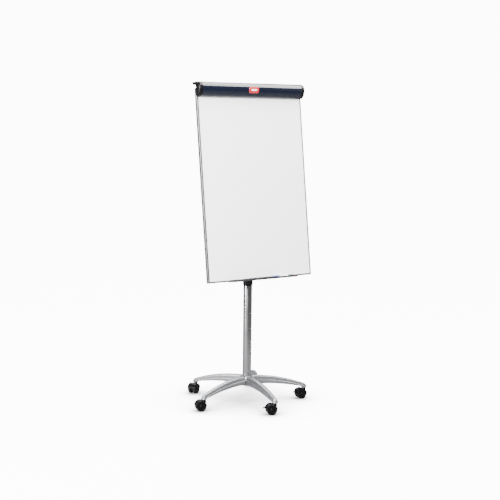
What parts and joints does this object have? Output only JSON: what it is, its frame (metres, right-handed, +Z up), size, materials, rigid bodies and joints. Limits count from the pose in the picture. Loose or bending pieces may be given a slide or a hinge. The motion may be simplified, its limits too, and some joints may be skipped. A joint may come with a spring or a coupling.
{
  "type": "mobile flipchart easel",
  "caption": "Mobile flipchart easel: framed whiteboard with a hinged pad clamp bar and pen tray on a telescopic column over a star base with twin-wheel castors.",
  "frame": {"origin": "on the floor under the column's axis", "axes": "+Z up, the writing side faces -Y, +X to the right of someone writing on the board"},
  "size_m": [0.7313, 0.6728, 1.7819],
  "materials": {
    "silver_casting": "satin silver paint on cast aluminium",
    "silver_tube": "satin silver paint on steel tube",
    "bright_steel": "bright zinc or chrome plate",
    "anodised": "satin natural anodised",
    "white_enamel": "glossy white writing surface",
    "honeycomb": "resin-bonded paper honeycomb, edges hidden",
    "galvanised": "galvanised sheet",
    "black_plastic": "fine-textured moulding",
    "navy_lacquer": "glossy navy lacquer on aluminium section",
    "red_badge": "glossy red, blank",
    "rubber": "matt",
    "tray_grey": "satin dark grey",
    "nylon_white": "natural nylon",
    "wheel_black": "nylon wheels",
    "marker_blue": "glossy",
    "marker_red": "glossy",
    "marker_black": "glossy"
  },
  "bodies": {
    "base": {"star_base": "silver_casting", "stem_sockets": "bright_steel", "castor_stems": "bright_steel", "column_tube": "silver_tube", "column_plug": "silver_casting", "column_bolt": "bright_steel", "height_collar": "black_plastic", "guide_bush": "black_plastic"},
    "height_knob": {"height_knob": "black_plastic"},
    "mast": {"mast_tube": "anodised", "mast_glide": "nylon_white", "tilt_head": "silver_casting"},
    "board": {"board_core": "honeycomb", "writing_sheet": "white_enamel", "backing_sheet": "galvanised", "frame_left": "anodised", "frame_right": "anodised", "frame_bottom": "anodised", "frame_top": "anodised", "corner_keys": "bright_steel", "tilt_bracket": "silver_tube", "bracket_screws": "bright_steel", "tilt_bolt": "bright_steel", "pen_tray": "tray_grey", "pad_rail": "anodised", "hinge_blocks": "black_plastic", "hinge_pins": "bright_steel", "arm_rest": "black_plastic"},
    "tilt_knob": {"tilt_knob": "black_plastic"},
    "clamp": {"clamp_bar": "navy_lacquer", "clamp_end_left": "black_plastic", "clamp_end_right": "black_plastic", "badge": "red_badge", "grip_strip": "rubber"},
    "peg_left": {"peg_left": "black_plastic"},
    "peg_right": {"peg_right": "black_plastic"},
    "arm_left": {"arm_rod_left": "bright_steel", "arm_knob_left": "black_plastic"},
    "arm_right": {"arm_rod_right": "bright_steel", "arm_knob_right": "black_plastic"},
    "marker_blue": {"marker_blue": "marker_blue"},
    "marker_red": {"marker_red": "marker_red"},
    "marker_black": {"marker_black": "marker_black"},
    "castor_1": {"castor_1_hood": "black_plastic", "castor_1_axle": "bright_steel"},
    "castor_1_wheels": {"castor_1_wheels": "wheel_black"},
    "castor_2": {"castor_2_hood": "black_plastic", "castor_2_axle": "bright_steel"},
    "castor_2_wheels": {"castor_2_wheels": "wheel_black"},
    "castor_3": {"castor_3_hood": "black_plastic", "castor_3_axle": "bright_steel"},
    "castor_3_wheels": {"castor_3_wheels": "wheel_black"},
    "castor_4": {"castor_4_hood": "black_plastic", "castor_4_axle": "bright_steel"},
    "castor_4_wheels": {"castor_4_wheels": "wheel_black"},
    "castor_4_brake_lever": {"castor_4_brake_lever": "black_plastic"},
    "castor_5": {"castor_5_hood": "black_plastic", "castor_5_axle": "bright_steel"},
    "castor_5_wheels": {"castor_5_wheels": "wheel_black"},
    "castor_5_brake_lever": {"castor_5_brake_lever": "black_plastic"}
  },
  "joints": [
    {"name": "height_knob_turn", "type": "hinge", "parent": "base", "child": "height_knob", "pos_m": [0, 0.045, 0.7], "axis": [0, 1, 0], "range_deg": [0, 360]},
    {"name": "mast_height", "type": "slide", "parent": "base", "child": "mast", "axis": [0, 0, 1], "range_m": [-0.28, 0.17]},
    {"name": "board_tilt", "type": "hinge", "parent": "mast", "child": "board", "pos_m": [0, -0.018, 1.25], "axis": [-1, 0, 0], "range_deg": [-7.5, 20]},
    {"name": "tilt_knob_turn", "type": "hinge", "parent": "board", "child": "tilt_knob", "pos_m": [0.03, -0.018, 1.25], "axis": [1, 0, 0], "range_deg": [0, 360]},
    {"name": "clamp_lift", "type": "hinge", "parent": "board", "child": "clamp", "pos_m": [0, 0.00987, 1.77074], "axis": [-1, 0, 0], "range_deg": [0, 75]},
    {"name": "peg_left_slide", "type": "slide", "parent": "board", "child": "peg_left", "axis": [1, 0, 0], "range_m": [-0.07, 0.07]},
    {"name": "peg_right_slide", "type": "slide", "parent": "board", "child": "peg_right", "axis": [1, 0, 0], "range_m": [-0.07, 0.07]},
    {"name": "arm_left_pull", "type": "slide", "parent": "board", "child": "arm_left", "axis": [-1, 0, 0], "range_m": [0, 0.25]},
    {"name": "arm_right_pull", "type": "slide", "parent": "board", "child": "arm_right", "axis": [1, 0, 0], "range_m": [0, 0.25]},
    {"name": "marker_blue_lift", "type": "slide", "parent": "board", "child": "marker_blue", "axis": [0, 0.1305, 0.9914], "range_m": [0, 0.06]},
    {"name": "marker_red_lift", "type": "slide", "parent": "board", "child": "marker_red", "axis": [0, 0.1305, 0.9914], "range_m": [0, 0.06]},
    {"name": "marker_black_lift", "type": "slide", "parent": "board", "child": "marker_black", "axis": [0, 0.1305, 0.9914], "range_m": [0, 0.06]},
    {"name": "castor_1_swivel", "type": "hinge", "parent": "base", "child": "castor_1", "pos_m": [0.22445, 0.24409, 0.05], "axis": [0, 0, 1], "continuous": true},
    {"name": "castor_1_roll", "type": "hinge", "parent": "castor_1", "child": "castor_1_wheels", "pos_m": [0.20713, 0.25409, 0.029], "axis": [-0.5, -0.866, 0], "continuous": true},
    {"name": "castor_2_swivel", "type": "hinge", "parent": "base", "child": "castor_2", "pos_m": [-0.16278, 0.28889, 0.05], "axis": [0, 0, 1], "continuous": true},
    {"name": "castor_2_roll", "type": "hinge", "parent": "castor_2", "child": "castor_2_wheels", "pos_m": [-0.18091, 0.28044, 0.029], "axis": [0.4226, -0.9063, 0], "continuous": true},
    {"name": "castor_3_swivel", "type": "hinge", "parent": "base", "child": "castor_3", "pos_m": [-0.32506, -0.06554, 0.05], "axis": [0, 0, 1], "continuous": true},
    {"name": "castor_3_roll", "type": "hinge", "parent": "castor_3", "child": "castor_3_wheels", "pos_m": [-0.34438, -0.06037, 0.029], "axis": [-0.2588, -0.9659, 0], "continuous": true},
    {"name": "castor_4_swivel", "type": "hinge", "parent": "base", "child": "castor_4", "pos_m": [-0.03811, -0.3294, 0.05], "axis": [0, 0, 1], "continuous": true},
    {"name": "castor_4_roll", "type": "hinge", "parent": "castor_4", "child": "castor_4_wheels", "pos_m": [-0.05691, -0.32256, 0.029], "axis": [-0.342, -0.9397, 0], "continuous": true},
    {"name": "castor_4_brake", "type": "hinge", "parent": "castor_4", "child": "castor_4_brake_lever", "pos_m": [-0.08904, -0.31086, 0.0405], "axis": [-0.342, -0.9397, 0], "range_deg": [0, 22]},
    {"name": "castor_5_swivel", "type": "hinge", "parent": "base", "child": "castor_5", "pos_m": [0.3015, -0.13804, 0.05], "axis": [0, 0, 1], "continuous": true},
    {"name": "castor_5_roll", "type": "hinge", "parent": "castor_5", "child": "castor_5_wheels", "pos_m": [0.28181, -0.13457, 0.029], "axis": [-0.1736, -0.9848, 0], "continuous": true},
    {"name": "castor_5_brake", "type": "hinge", "parent": "castor_5", "child": "castor_5_brake_lever", "pos_m": [0.24813, -0.12863, 0.0405], "axis": [-0.1736, -0.9848, 0], "range_deg": [0, 22]}
  ]
}
